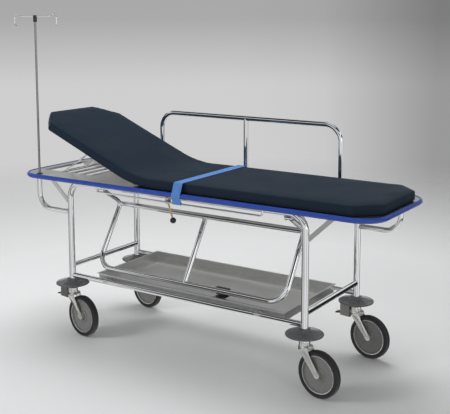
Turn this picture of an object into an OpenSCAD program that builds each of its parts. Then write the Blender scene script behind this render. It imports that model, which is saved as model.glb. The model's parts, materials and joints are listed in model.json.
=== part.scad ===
// Hospital stretcher trolley: tubular frame, sheet deck, lifting backrest, side rails, swivel casters.
// Millimetres. +X points to the foot end, -Y to the patient's right, +Z up.
// The origin is on the floor under the middle of the trolley.

/* [Deck and bumper] */
// Half of the length over the bumper strip
bumper_half_l = 990; // [960:5:1050]
// Half of the width over the bumper strip
bumper_half_w = 295; // [290:1:310]
// Outer corner radius of the bumper strip
bumper_corner_r = 120; // [90:5:140]
// How far the bumper strip stands out of the deck edge
bumper_t = 12; // [8:1:14]
// Height of the bumper strip's section
bumper_h = 22; // [20:1:22]
// Height of the deck's top face
deck_z = 790; // [785:1:800]
// Depth of the deck's turned-down edge
flange_h = 20; // [14:1:24]

/* [Frame tubes] */
// Distance of the legs from the middle, along the length
leg_x = 657; // [640:1:680]
// Distance of the legs from the middle, across the width
leg_y = 257; // [254:1:260]
// Outer radius of the leg tube
leg_r = 16; // [14:0.5:17]
// Wall of the frame tubes
tube_wall = 2; // [1.5:0.1:3]
// Bend radius of the top corners of each side frame
leg_bend_r = 77; // [60:1:100]
// Outer radius of the lower side tubes and end tubes
low_tube_r = 12.5; // [10:0.5:14]
// Height of the lower side tubes
low_tube_z = 297; // [290:1:310]
// Height of the end tubes
end_tube_z = 346; // [340:1:380]
// Outer radius of the corner loops
loop_r = 13; // [12.5:0.5:14]
// Distance of the loops' upright from the middle, along the length
loop_x = 867; // [860:1:872]
// Height of the loops' level stretch
loop_z = 617; // [600:1:640]
// Bend radius of the loops
loop_bend_r = 78; // [60:1:85]

/* [Tray] */
// Distance of the tray's head end from the middle
tray_head_l = 500; // [490:5:560]
// Distance of the tray's foot end from the middle
tray_foot_l = 550; // [500:5:560]
// Half width of the tray
tray_half_w = 235; // [220:1:236]
// Height of the tray's underside
tray_z = 286; // [284:1:290]
// Depth of the tray
tray_h = 40; // [30:1:40]

/* [Backrest and mattress] */
// Distance of the hinge line from the middle, towards the head
hinge_x = -258; // [-262:1:-250]
// Height of the hinge line
hinge_z = 795.5; // [795:0.5:796]
// Rest angle of the backrest above the deck
rest_angle = 23; // [10:0.5:30]
// Largest angle of the backrest above the deck
max_angle = 43; // [40:1:45]
// Length of the back section from the hinge to its head end
back_l = 690; // [670:1:691]
// Half width of the mattress
mattress_half_w = 272; // [260:1:274]
// Height of the mattress's top face
mattress_top_z = 838; // [830:1:850]
// Foot end of the mattress
mattress_foot_x = 975; // [960:1:976]
// Corner cut of the mattress at the foot end
foot_cut = 100; // [60:1:110]
// Corner cut of the mattress at the head end, which clears the pole when flat
head_cut = 106; // [105:1:120]
// Length of the prop
prop_l = 281; // [280:1:282]
// Distance of the prop's pivot from the backrest hinge
prop_s = 380; // [378:1:382]

/* [Side rails] */
// Distance of the rail pivots from the middle, across the width
rail_y = 165; // [160:1:170]
// Height of the rail pivots
rail_z = 727; // [724:1:730]
// Outward reach of a raised rail from its pivots
rail_arm = 163; // [162:1:166]
// Height of a raised rail above its pivots
rail_h = 343; // [330:1:345]
// Half length of a rail between its end posts
rail_half_l = 529; // [520:1:535]
// Outer radius of the rail tube
rail_r = 12.5; // [11:0.5:12.5]
// Angle between a raised and a lowered rail
rail_turn = 148; // [140:1:148]

/* [Casters] */
// Wheel radius
wheel_r = 101.5; // [95:0.5:102]
// Wheel width
wheel_w = 32; // [28:1:34]
// Distance of the wheel's centre behind the swivel axis
caster_trail = 80; // [70:1:82]
// Angle to which the casters are turned at rest
caster_turn = -9; // [-20:1:20]

/* [IV pole] */
// Radius of the pole
pole_r = 5.5; // [5:0.5:5.5]
// Height of the hook bar
pole_top_z = 1581; // [1400:1:1700]
// Half length of the straight stretch of the hook bar
hook_bar = 94; // [60:1:96]

/* [Hidden] */
$fn = 48;

// Signs of the ends and sides
HEAD = -1;
FOOT = 1;
RIGHT = -1;
LEFT = 1;

// Gaps: seat is between faces that stay together, run is a running fit, clear is free motion
seat = 0.1;
run = 0.05;
clear = 0.3;
sheet = 2;

deck_under = deck_z - sheet;
deck_half_l = bumper_half_l - bumper_t;
deck_half_w = bumper_half_w - bumper_t;
deck_corner_r = bumper_corner_r - bumper_t;
bumper_z = 781.2;

top_tube_z = deck_under - leg_r - 2 * seat;
leg_bottom = 258;

// The opening that the prop folds into, and the rack bars across it
window_head = -935;
window_foot = -600;
window_half_w = 150;
rack_top = 776.5;
rack_bar_w = 22;
rack_bar_t = 6;
rack_pitch = 66;
rack_first = -868;
rack_bars = 4;

// Cross members under the deck
member_w = 40;
member_h = 25;
member_xs = [-rail_half_l, 0, rail_half_l];

// Backrest, measured from the hinge line: s along the panel, n square to it
panel_n = -4.5;
panel_t = 3;
panel_half_w = 240;
panel_corner_r = 140;
hip_gap = 8;
back_n = panel_n + panel_t + clear;
back_top_n = 43;
hinge_r = 4.5;
pin_r = 2.5;
knuckles = 13;
knuckle_pitch = 34;
tab_w = 30;

// The prop hangs from two ears under the panel and stands on the rack
prop_r = 4;
prop_pin_r = 3;
prop_n = -10.5;
prop_half_w = 87;
foot_z = 783;
ear_t = 4;
prop_px = hinge_x - prop_s * cos(rest_angle) + prop_n * sin(rest_angle);
prop_pz = hinge_z + prop_s * sin(rest_angle) + prop_n * cos(rest_angle);
prop_angle = asin((prop_pz - foot_z) / prop_l);

// Side rails
rail_bend_r = 80;
elbow_r = 30;
rail_wall = 1.5;
hub_r = 14;
hub_half = 14;
ear_gap = 14.5;
rail_pin_r = 5;
elbow_mid = elbow_r * (1 - cos(45));

// Where the top bar of a lowered rail ends up, and the posts that it rests against
bar_y = rail_y + rail_arm * cos(rail_turn) + rail_h * sin(rail_turn);
bar_z = rail_z - rail_arm * sin(rail_turn) + rail_h * cos(rail_turn);
rest_x = 205;
rest_w = 60;
rest_y = 183;
rest_top = 362;

// Strap rod and strap
rod_r = 4;
rod_y = 282;
rod_z = 745;
rod_half_l = 462;
strap_x = 15;
strap_w = 50;
strap_t = 2;

// Rail latch
latch_x = -52;
latch_y = 262;
latch_z = 742;
latch_lean = 19;
latch_l = 88;
knob_r = 14;
latch_rod_r = 4;
latch_pin_r = 3;
latch_ear_y = 9;
latch_ear_t = 3;

// Caster heights
stem_r = 9;
crown_z = 208;
crown_top = 235;
crown_r = 25;
fork_gap = 20;
fork_t = 3;
axle_r = 6.25;
tyre_inner_r = 84;
brake_x = -58;
brake_z = 192;
brake_pin_r = 3;

// Pole socket
bush_r = loop_r - tube_wall - run;
bush_bore_r = pole_r + 0.08;
bush_top = deck_z + 3;
bush_floor = 703;
pole_end_z = pole_top_z - 12;
hook_r = 3;

// ---------- shapes that repeat ----------

// Straight tube from the origin along +Z
module tube(length, r, wall) {
    difference() {
        cylinder(h = length, r = r);
        translate([0, 0, -1]) cylinder(h = length + 2, r = r - wall);
    }
}

// Tube bend in the XY plane about the Z axis, from +X through the angle
module tube_bend(bend_r, r, wall, angle) {
    rotate_extrude(angle = angle) translate([bend_r, 0]) difference() {
        circle(r = r);
        circle(r = r - wall);
    }
}

// Solid rod bend in the XY plane about the Z axis, from +X through the angle
module rod_bend(bend_r, r, angle) {
    rotate_extrude(angle = angle) translate([bend_r, 0]) circle(r = r);
}

// Rounded rectangle in plan
module rounded_plan(half_l, half_w, r) {
    square([2 * (half_l - r), 2 * half_w], center = true);
    square([2 * half_l, 2 * (half_w - r)], center = true);
    for (sx = [HEAD, FOOT], sy = [RIGHT, LEFT])
        translate([sx * (half_l - r), sy * (half_w - r)]) circle(r = r);
}

// Cylinder lying along X, centred
module x_cylinder(length, r) {
    rotate([0, 90, 0]) cylinder(h = length, r = r, center = true);
}

// Cylinder lying along Y, centred
module y_cylinder(length, r) {
    rotate([90, 0, 0]) cylinder(h = length, r = r, center = true);
}

// Carries a shape drawn in the flat position to the backrest's rest angle
module on_backrest() {
    translate([hinge_x, 0, hinge_z]) rotate([0, rest_angle, 0]) children();
}

// Carries a shape drawn about the left rail's pivot to a side and a turn
module on_rail_pivot(side, turn) {
    mirror([0, side == RIGHT ? 1 : 0, 0]) translate([0, rail_y, rail_z]) rotate([-turn, 0, 0]) children();
}

// Carries a shape drawn about a swivel axis to its leg
module on_caster(end, side) {
    translate([end * leg_x, side * leg_y, 0]) rotate([0, 0, caster_turn]) children();
}

// Carries a shape drawn about the pole's axis to the head loop
module at_pole() {
    translate([HEAD * loop_x, RIGHT * leg_y, 0]) children();
}

// ---------- fixed frame ----------

module side_frame(side) {
    color("silver")
    translate([0, side * leg_y, 0]) {
        translate([-(leg_x - leg_bend_r), 0, top_tube_z]) rotate([0, 90, 0])
            tube(2 * (leg_x - leg_bend_r), leg_r, tube_wall);
        for (end = [HEAD, FOOT]) mirror([end == HEAD ? 1 : 0, 0, 0]) {
            translate([leg_x - leg_bend_r, 0, top_tube_z - leg_bend_r]) rotate([90, 0, 0])
                tube_bend(leg_bend_r, leg_r, tube_wall, 90);
            translate([leg_x, 0, leg_bottom]) tube(top_tube_z - leg_bend_r - leg_bottom, leg_r, tube_wall);
        }
    }
}

// The outside of both legs of one side, which the lower tubes are coped to
module leg_cope(side) {
    for (end = [HEAD, FOOT]) translate([end * leg_x, side * leg_y, 200]) cylinder(h = 400, r = leg_r + seat);
}

module lower_tube(side) {
    color("silver")
    difference() {
        translate([-leg_x, side * leg_y, low_tube_z]) rotate([0, 90, 0])
            tube(2 * leg_x, low_tube_r, tube_wall);
        leg_cope(side);
    }
}

module end_tubes() {
    color("silver")
    for (end = [HEAD, FOOT]) difference() {
        translate([end * leg_x, leg_y, end_tube_z]) rotate([90, 0, 0]) tube(2 * leg_y, low_tube_r, tube_wall);
        leg_cope(RIGHT);
        leg_cope(LEFT);
    }
}

module cross_members() {
    color("gainsboro")
    for (x = member_xs) difference() {
        translate([x - member_w / 2, -leg_y, deck_under - member_h - seat])
            cube([member_w, 2 * leg_y, member_h]);
        translate([x - member_w / 2 + sheet, -leg_y - 1, deck_under - member_h - seat + sheet])
            cube([member_w - 2 * sheet, 2 * leg_y + 2, member_h - 2 * sheet]);
        for (side = [RIGHT, LEFT]) translate([x, side * leg_y, top_tube_z])
            x_cylinder(member_w + 2, leg_r + seat);
        for (side = [RIGHT, LEFT]) translate([x, side * (leg_y + 10), top_tube_z])
            cube([member_w + 2, 20, 60], center = true);
    }
}

// Flat strut from a leg out to the underside of the deck
module corner_braces() {
    brace_low = 655;
    brace_reach = 800;
    brace_w = 20;
    brace_t = 4;
    tab_l = 34;
    run_x = brace_reach - leg_x;
    run_z = deck_under - brace_low;
    length = sqrt(run_x * run_x + run_z * run_z);
    color("gainsboro")
    for (end = [HEAD, FOOT], side = [RIGHT, LEFT]) mirror([end == HEAD ? 1 : 0, 0, 0]) difference() {
        union() {
            translate([leg_x, side * leg_y - brace_t / 2, brace_low]) rotate([0, -atan2(run_z, run_x), 0])
                translate([0, 0, -brace_w / 2]) cube([length, brace_t, brace_w]);
            translate([brace_reach - tab_l / 2, side * leg_y - brace_w / 2, deck_under - brace_t - seat])
                cube([tab_l, brace_w, brace_t]);
        }
        translate([leg_x, side * leg_y, brace_low - 60]) cylinder(h = 120, r = leg_r + seat);
        translate([brace_reach, side * leg_y, deck_under - seat + 20]) cube([120, 60, 40], center = true);
    }
}

module corner_loop(end, side) {
    color("silver")
    mirror([end == HEAD ? 1 : 0, 0, 0]) translate([0, side * leg_y, 0]) {
        difference() {
            translate([leg_x, 0, loop_z]) rotate([0, 90, 0])
                tube(loop_x - loop_bend_r - leg_x, loop_r, tube_wall);
            translate([leg_x, 0, loop_z - 50]) cylinder(h = 100, r = leg_r + seat);
        }
        translate([loop_x - loop_bend_r, 0, loop_z + loop_bend_r]) rotate([90, 0, 0]) rotate([0, 0, -90])
            tube_bend(loop_bend_r, loop_r, tube_wall, 90);
        translate([loop_x, 0, loop_z + loop_bend_r])
            tube(deck_under - seat - loop_z - loop_bend_r, loop_r, tube_wall);
    }
}

// Blind bush in the top of the head loop, which takes the IV pole
module pole_socket() {
    lip_r = 15;
    color("dimgray")
    at_pole() difference() {
        union() {
            translate([0, 0, bush_floor - 5]) cylinder(h = bush_top - bush_floor + 5, r = bush_r);
            translate([0, 0, deck_z + seat]) cylinder(h = bush_top - deck_z - seat, r = lip_r);
        }
        translate([0, 0, bush_floor]) cylinder(h = bush_top - bush_floor + 1, r = bush_bore_r);
    }
}

module deck_plate() {
    color("lightgray")
    difference() {
        translate([0, 0, deck_z - flange_h]) linear_extrude(flange_h)
            rounded_plan(deck_half_l, deck_half_w, deck_corner_r);
        translate([0, 0, deck_z - flange_h - 1]) linear_extrude(flange_h - sheet + 1)
            rounded_plan(deck_half_l - sheet, deck_half_w - sheet, deck_corner_r - sheet);
        translate([window_head, -window_half_w, deck_z - 10])
            cube([window_foot - window_head, 2 * window_half_w, 20]);
        at_pole() translate([0, 0, deck_z - 10]) cylinder(h = 20, r = bush_r + seat);
    }
}

// Hanging side plates with the bars that the prop's foot drops between
module prop_rack() {
    plate_t = 3;
    bar_low = rack_top - rack_bar_t;
    plate_low = bar_low - 3;
    color("silver") {
        for (side = [RIGHT, LEFT])
            translate([window_head - 5, side * (window_half_w + plate_t) - plate_t / 2, plate_low])
                cube([window_foot - window_head + 10, plate_t, deck_under - seat - plate_low]);
        for (i = [0:rack_bars - 1])
            translate([rack_first + i * rack_pitch - rack_bar_w / 2, -window_half_w - plate_t, bar_low])
                cube([rack_bar_w, 2 * (window_half_w + plate_t), rack_bar_t]);
    }
}

// Crowned section of the bumper strip, standing out along +X from the deck edge
module bumper_section() {
    crown_r = 20;
    intersection() {
        translate([seat, -bumper_h / 2]) square([bumper_t, bumper_h]);
        translate([bumper_t - crown_r, 0]) circle(r = crown_r);
    }
}

module bumper_strip() {
    side_l = 2 * (deck_half_l - deck_corner_r);
    end_l = 2 * (deck_half_w - deck_corner_r);
    color("royalblue")
    translate([0, 0, bumper_z]) {
        for (end = [HEAD, FOOT]) mirror([end == HEAD ? 1 : 0, 0, 0]) {
            translate([deck_half_l, end_l / 2, 0]) rotate([90, 0, 0]) linear_extrude(end_l) bumper_section();
            for (side = [RIGHT, LEFT]) mirror([0, side == RIGHT ? 1 : 0, 0])
                translate([deck_half_l - deck_corner_r, deck_half_w - deck_corner_r, 0])
                    rotate_extrude(angle = 90) translate([deck_corner_r, 0]) bumper_section();
        }
        for (side = [RIGHT, LEFT]) mirror([0, side == RIGHT ? 1 : 0, 0])
            translate([-side_l / 2, deck_half_w, 0]) rotate([90, 0, 90]) linear_extrude(side_l) bumper_section();
    }
}

module tray() {
    rim = 8;
    tray_l = tray_head_l + tray_foot_l;
    color("darkgray")
    difference() {
        union() {
            translate([-tray_head_l, -tray_half_w, tray_z]) cube([tray_l, 2 * tray_half_w, tray_h]);
            translate([-tray_head_l - rim, -tray_half_w - rim, tray_z + tray_h - sheet])
                cube([tray_l + 2 * rim, 2 * (tray_half_w + rim), sheet]);
        }
        translate([-tray_head_l + sheet, -tray_half_w + sheet, tray_z + sheet])
            cube([tray_l - 2 * sheet, 2 * (tray_half_w - sheet), tray_h]);
    }
}

// Saddles that hang the tray on the lower side tubes
module tray_clips() {
    clip_w = 30;
    clip_t = 2.5;
    clip_xs = [-430, 430];
    gap = leg_y - tray_half_w;
    lug_low = low_tube_z - 7;
    lug_h = 26;
    color("silver")
    for (x = clip_xs, side = [RIGHT, LEFT]) mirror([0, side == RIGHT ? 1 : 0, 0]) difference() {
        union() {
            translate([x, leg_y, low_tube_z]) x_cylinder(clip_w, low_tube_r + clip_t);
            translate([x - clip_w / 2, tray_half_w + seat, low_tube_z]) cube([clip_w, gap, clip_t]);
            translate([x - clip_w / 2, tray_half_w + seat, lug_low]) cube([clip_w, clip_t, lug_h]);
        }
        translate([x, leg_y, low_tube_z]) x_cylinder(clip_w + 2, low_tube_r + seat);
        translate([x - clip_w, leg_y - low_tube_r - 1, low_tube_z - 30]) cube([2 * clip_w, 60, 30]);
    }
}

// Rods under the deck edges that the restraint strap is looped to
module strap_rods() {
    rod_bend_r = 12;
    color("silver")
    for (side = [RIGHT, LEFT]) translate([0, side * rod_y, 0]) {
        translate([0, 0, rod_z]) x_cylinder(2 * (rod_half_l - rod_bend_r), rod_r);
        for (end = [HEAD, FOOT]) mirror([end == HEAD ? 1 : 0, 0, 0]) {
            translate([rod_half_l - rod_bend_r, 0, rod_z + rod_bend_r]) rotate([90, 0, 0]) rotate([0, 0, -90])
                rod_bend(rod_bend_r, rod_r, 90);
            translate([rod_half_l, 0, rod_z + rod_bend_r])
                cylinder(h = deck_z - flange_h - seat - rod_z - rod_bend_r, r = rod_r);
        }
    }
}

// Pairs of ears under the outer cross members, which carry the rail pivots
module rail_brackets() {
    rail_ear_r = 16;
    top = deck_under - member_h - 2 * seat;
    color("gainsboro")
    for (end = [HEAD, FOOT], side = [RIGHT, LEFT], ear = [-1, 1])
        translate([end * rail_half_l + ear * (ear_gap + ear_t / 2), side * rail_y, rail_z])
            rotate([90, 0, 90]) linear_extrude(ear_t, center = true) difference() {
                union() {
                    circle(r = rail_ear_r);
                    translate([-rail_ear_r, 0]) square([2 * rail_ear_r, top - rail_z]);
                }
                circle(r = rail_pin_r + run);
            }
}

module rail_pivot_pins() {
    head_t = 4;
    head_r = 8.5;
    half = ear_gap + ear_t + seat;
    color("silver")
    for (end = [HEAD, FOOT], side = [RIGHT, LEFT])
        translate([end * rail_half_l, side * rail_y, rail_z]) {
            x_cylinder(2 * half, rail_pin_r);
            for (ear = [-1, 1]) translate([ear * (half + head_t / 2), 0, 0]) x_cylinder(head_t, head_r);
        }
}

// Bracket on the tray's right wall, with a post that the lowered right rail comes to rest against
module rail_rests() {
    rest_t = 3;
    rim_z = tray_z + tray_h;
    wall_y = tray_half_w - sheet - seat;
    color("silver")
    mirror([0, 1, 0]) translate([rest_x - rest_w / 2, 0, 0]) {
        translate([0, wall_y - rest_t, rim_z - 22]) cube([rest_w, rest_t, 22]);
        translate([0, rest_y, rim_z - rest_t]) cube([rest_w, wall_y - rest_y, rest_t]);
        translate([0, rest_y, rim_z - rest_t]) cube([rest_w, rest_t, rest_top - rim_z + rest_t]);
    }
}

module rail_rest_pads() {
    pad_low = 330;
    pad_half_w = rest_w / 2 + 5;
    color("#202022")
    mirror([0, 1, 0]) difference() {
        translate([rest_x - pad_half_w, rest_y + 3 + seat, pad_low])
            cube([2 * pad_half_w, 16, rest_top - pad_low]);
        translate([rest_x, bar_y, bar_z]) x_cylinder(2 * rest_w, rail_r + 2 * clear);
        translate([rest_x - rest_w, bar_y - 8, pad_low - 1]) cube([2 * rest_w, 40, 60]);
    }
}

// Rubber discs above the casters, which fend off walls
module disc_bumpers() {
    disc_r = 83;
    color("#5a5d60")
    for (end = [HEAD, FOOT], side = [RIGHT, LEFT]) translate([end * leg_x, side * leg_y, 0])
        rotate_extrude() polygon([
            [leg_r + seat, 262], [30, 259.5], [disc_r - 3, 253], [disc_r, 256],
            [disc_r, 260], [disc_r - 2, 262.5], [32, 276], [24, 279], [leg_r + seat, 279]
        ]);
}

// Swivel stems: collar under the leg, shaft through the fork crown, nut below it
module caster_stems() {
    collar_r = 21;
    plug_h = 40;
    nut_r = 15;
    nut_h = 12;
    stem_top = leg_bottom + plug_h;
    color("silver")
    for (end = [HEAD, FOOT], side = [RIGHT, LEFT]) translate([end * leg_x, side * leg_y, 0]) {
        translate([0, 0, crown_z - nut_h]) cylinder(h = stem_top - crown_z + nut_h, r = stem_r);
        translate([0, 0, leg_bottom - seat]) cylinder(h = plug_h, r = leg_r - tube_wall - seat);
        translate([0, 0, crown_top + clear]) cylinder(h = leg_bottom - seat - crown_top - clear, r = collar_r);
        translate([0, 0, crown_z - nut_h]) cylinder(h = nut_h - clear, r = nut_r);
    }
}

// ---------- mattress, strap and hinge ----------

// Plan of one half of the mattress, from the hip to an end with its two corners cut
module mattress_plan(x_hip, x_end, cut) {
    polygon([
        [x_hip, -mattress_half_w], [x_end - cut, -mattress_half_w],
        [x_end, -mattress_half_w + cut], [x_end, mattress_half_w - cut],
        [x_end - cut, mattress_half_w], [x_hip, mattress_half_w]
    ]);
}

// Takes away everything on the hip side of a face that leans back by half the largest angle
module hip_cut(x, z) {
    translate([x, 0, z]) rotate([0, max_angle / 2, 0]) translate([-200, -400, -200]) cube([200, 800, 400]);
}

module mattress_seat() {
    low = deck_z + clear;
    color("midnightblue")
    difference() {
        translate([0, 0, low]) linear_extrude(mattress_top_z - low)
            mattress_plan(hinge_x, mattress_foot_x, foot_cut);
        hip_cut(hinge_x + hip_gap, low);
    }
}

module mattress_back() {
    color("midnightblue")
    on_backrest() mirror([1, 0, 0]) difference() {
        translate([0, 0, back_n]) linear_extrude(back_top_n - back_n)
            mattress_plan(0, back_l, head_cut);
        hip_cut(hip_gap, back_n);
    }
}

// Half of the strap's section: over the mattress edge, over the bumper and round the rod
module strap_half_section() {
    edge_y = mattress_half_w + clear;
    crown_y = bumper_half_w + 1;
    top = mattress_top_z + clear;
    shoulder_y = crown_y - 3.2;
    shoulder_h = bumper_h / 2 + 1;
    polygon([
        [0, top], [edge_y, top], [shoulder_y, bumper_z + shoulder_h], [crown_y, bumper_z],
        [shoulder_y, bumper_z - shoulder_h], [rod_y + rod_r + clear, rod_z],
        [rod_y + rod_r + clear + strap_t, rod_z], [shoulder_y + strap_t, bumper_z - shoulder_h],
        [crown_y + strap_t, bumper_z], [shoulder_y + strap_t, bumper_z + shoulder_h + 1],
        [edge_y + 1, top + strap_t], [0, top + strap_t]
    ]);
    translate([rod_y, rod_z]) difference() {
        circle(r = rod_r + clear + strap_t);
        circle(r = rod_r + clear);
    }
}

module restraint_strap() {
    color("cornflowerblue")
    translate([strap_x - strap_w / 2, 0, 0]) rotate([90, 0, 90]) linear_extrude(strap_w) {
        strap_half_section();
        mirror([1, 0]) strap_half_section();
    }
}

// Carries a shape to every second knuckle of the hinge, from the first
module at_knuckles(first) {
    for (i = [first:2:knuckles - 1]) translate([0, (i - (knuckles - 1) / 2) * knuckle_pitch, 0]) children();
}

module backrest_hinge() {
    leaf_t = 2;
    color("silver")
    translate([hinge_x, 0, hinge_z]) {
        difference() {
            at_knuckles(1) {
                y_cylinder(knuckle_pitch - 2 * clear, hinge_r);
                translate([0, -tab_w / 2, deck_z + seat - hinge_z]) cube([hip_gap - 1, tab_w, leaf_t]);
            }
            y_cylinder(3 * panel_half_w, pin_r + run);
        }
        y_cylinder(knuckles * knuckle_pitch, pin_r);
    }
}

module latch_brackets() {
    ear_r = 9;
    tube_y = leg_y - latch_y;
    tube_up = top_tube_z - latch_z;
    color("gainsboro")
    for (side = [RIGHT, LEFT]) translate([latch_x, side * latch_y, latch_z]) {
        difference() {
            for (ear = [-1, 1]) translate([0, ear * latch_ear_y, 0]) rotate([90, 0, 0])
                linear_extrude(latch_ear_t, center = true) difference() {
                    union() {
                        circle(r = ear_r);
                        translate([-ear_r, 0]) square([2 * ear_r, tube_up - leg_r / 2]);
                    }
                    circle(r = latch_pin_r + run);
                }
            translate([0, side * tube_y, tube_up]) x_cylinder(6 * ear_r, leg_r + seat);
        }
        y_cylinder(2 * (latch_ear_y + latch_ear_t + 1.5), latch_pin_r);
    }
}

// ---------- backrest ----------

module backrest_panel() {
    panel_head = back_l - 2;
    panel_hip = hinge_r + 1;
    square_l = 150;
    ear_r = 6.5;
    ear_offset = 9;
    color("lightgray")
    on_backrest() difference() {
        union() {
            translate([0, 0, panel_n]) linear_extrude(panel_t) {
                difference() {
                    translate([-panel_head / 2, 0]) rounded_plan(panel_head / 2, panel_half_w, panel_corner_r);
                    translate([-square_l, -400]) square([800, 800]);
                }
                translate([-square_l, -panel_half_w]) square([square_l - panel_hip, 2 * panel_half_w]);
            }
            at_knuckles(0) {
                y_cylinder(knuckle_pitch - 2 * clear, hinge_r);
                translate([-hip_gap, -tab_w / 2, panel_n]) cube([hip_gap, tab_w, panel_t]);
            }
            for (side = [RIGHT, LEFT], ear = [-1, 1])
                translate([-prop_s, side * prop_half_w + ear * ear_offset, 0]) rotate([90, 0, 0])
                    linear_extrude(ear_t, center = true) {
                        translate([0, prop_n]) circle(r = ear_r);
                        translate([-ear_r, prop_n]) square([2 * ear_r, panel_n - prop_n + 0.5]);
                    }
        }
        y_cylinder(3 * panel_half_w, pin_r + run);
        translate([-prop_s, 0, prop_n]) y_cylinder(3 * prop_half_w, prop_pin_r + run);
    }
}

// Wire prop: two legs joined by the foot rod, hung on a cross pin
module prop_bail() {
    corner = 14;
    color("silver")
    translate([prop_px, 0, prop_pz]) rotate([0, -prop_angle, 0]) {
        for (side = [RIGHT, LEFT]) mirror([0, side == RIGHT ? 1 : 0, 0]) {
            translate([0, prop_half_w, 0]) y_cylinder(12, 5.2);
            translate([0, prop_half_w, 0]) rotate([0, -90, 0]) cylinder(h = prop_l - corner, r = prop_r);
            translate([-(prop_l - corner), prop_half_w - corner, 0]) rotate([0, 0, 90])
                rod_bend(corner, prop_r, 90);
        }
        translate([-prop_l, 0, 0]) y_cylinder(2 * (prop_half_w - corner), prop_r);
        y_cylinder(2 * (prop_half_w + 13), prop_pin_r);
    }
}

// ---------- side rails ----------

// One bent tube: arm, elbow, post, top corner, and the same again at the other end
module rail_frame(side, turn) {
    post_low = elbow_r;
    post_high = rail_h - rail_bend_r;
    color("silver")
    on_rail_pivot(side, turn) {
        for (end = [HEAD, FOOT]) mirror([end == HEAD ? 1 : 0, 0, 0]) translate([rail_half_l, 0, 0]) {
            difference() {
                union() {
                    x_cylinder(2 * hub_half, hub_r);
                    rotate([-90, 0, 0]) cylinder(h = rail_arm - elbow_r, r = rail_r);
                }
                x_cylinder(3 * hub_half, rail_pin_r + run);
                translate([0, hub_r + 2, 0]) rotate([-90, 0, 0]) cylinder(h = rail_arm, r = rail_r - rail_wall);
            }
            translate([0, rail_arm - elbow_r, elbow_r]) rotate([0, 90, 0])
                tube_bend(elbow_r, rail_r, rail_wall, 90);
            translate([0, rail_arm, post_low]) tube(post_high - post_low, rail_r, rail_wall);
            translate([-rail_bend_r, rail_arm, post_high]) rotate([90, 0, 0])
                tube_bend(rail_bend_r, rail_r, rail_wall, 90);
        }
        translate([-(rail_half_l - rail_bend_r), rail_arm, rail_h]) rotate([0, 90, 0])
            tube(2 * (rail_half_l - rail_bend_r), rail_r, rail_wall);
    }
}

// Lower bar between the elbows and the middle post that stands on it
module rail_bars(side, turn) {
    low_y = rail_arm - elbow_mid;
    low_z = elbow_mid;
    color("silver")
    on_rail_pivot(side, turn) {
        difference() {
            translate([-rail_half_l, low_y, low_z]) rotate([0, 90, 0]) tube(2 * rail_half_l, rail_r, rail_wall);
            for (end = [HEAD, FOOT])
                translate([end * rail_half_l, rail_arm - elbow_r, elbow_r]) rotate([0, 90, 0])
                    rotate_extrude() translate([elbow_r, 0]) circle(r = rail_r + seat);
        }
        difference() {
            translate([0, rail_arm, low_z]) tube(rail_h - low_z, rail_r, rail_wall);
            translate([0, low_y, low_z]) x_cylinder(100, rail_r + seat);
            translate([0, rail_arm, rail_h]) x_cylinder(100, rail_r + seat);
            translate([-50, low_y - 60, low_z - 60]) cube([100, 120, 60]);
        }
    }
}

// ---------- rail latches ----------

module latch_lever(side) {
    eye_r = 7.5;
    rod_l = latch_l - 4;
    color("darkgoldenrod")
    translate([latch_x, side * latch_y, latch_z]) rotate([0, -latch_lean, 0]) difference() {
        union() {
            y_cylinder(2 * (latch_ear_y - latch_ear_t / 2 - 1), eye_r);
            translate([0, 0, -rod_l]) cylinder(h = rod_l, r = latch_rod_r);
        }
        y_cylinder(4 * latch_ear_y, latch_pin_r + run);
    }
}

module latch_knob(side) {
    color("#141414")
    translate([latch_x, side * latch_y, latch_z]) rotate([0, -latch_lean, 0]) translate([0, 0, -latch_l])
        difference() {
            sphere(r = knob_r);
            cylinder(h = knob_r + 5, r = latch_rod_r + run);
        }
}

// ---------- IV pole ----------

module iv_pole() {
    color("silver")
    at_pole() translate([0, 0, bush_floor + clear]) cylinder(h = pole_end_z - bush_floor - clear, r = pole_r);
}

// Black swivel joint on the top of the pole, which the hook bar passes through
module iv_hub() {
    hub_r = 9.5;
    color("#141414")
    at_pole() difference() {
        translate([0, 0, pole_top_z - 28]) cylinder(h = 33, r = hub_r);
        translate([0, 0, pole_top_z - 60]) cylinder(h = pole_end_z + 0.5 - pole_top_z + 60, r = pole_r + run);
        translate([0, 0, pole_top_z]) x_cylinder(3 * hub_r, hook_r + run);
    }
}

// Hook bar with an upward kink and a turned-down hook at each end
module iv_hooks() {
    kink = 40;
    kink_r = 30;
    over_r = 18;
    drop = 28;
    tip_r = 12;
    kink_x = hook_bar + kink_r * sin(kink);
    kink_z = kink_r * (1 - cos(kink));
    over_x = kink_x + over_r * sin(kink);
    over_z = kink_z - over_r * cos(kink);
    color("silver")
    at_pole() translate([0, 0, pole_top_z]) {
        x_cylinder(2 * hook_bar, hook_r);
        for (end = [HEAD, FOOT]) mirror([end == HEAD ? 1 : 0, 0, 0]) {
            translate([hook_bar, 0, kink_r]) rotate([90, 0, 0]) rotate([0, 0, -90])
                rod_bend(kink_r, hook_r, kink);
            translate([over_x, 0, over_z]) rotate([90, 0, 0]) rod_bend(over_r, hook_r, 90 + kink);
            translate([over_x + over_r, 0, over_z - drop]) cylinder(h = drop, r = hook_r);
            translate([over_x + over_r - tip_r, 0, over_z - drop]) rotate([90, 0, 0]) rotate([0, 0, -75])
                rod_bend(tip_r, hook_r, 75);
        }
    }
}

// ---------- casters ----------

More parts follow.
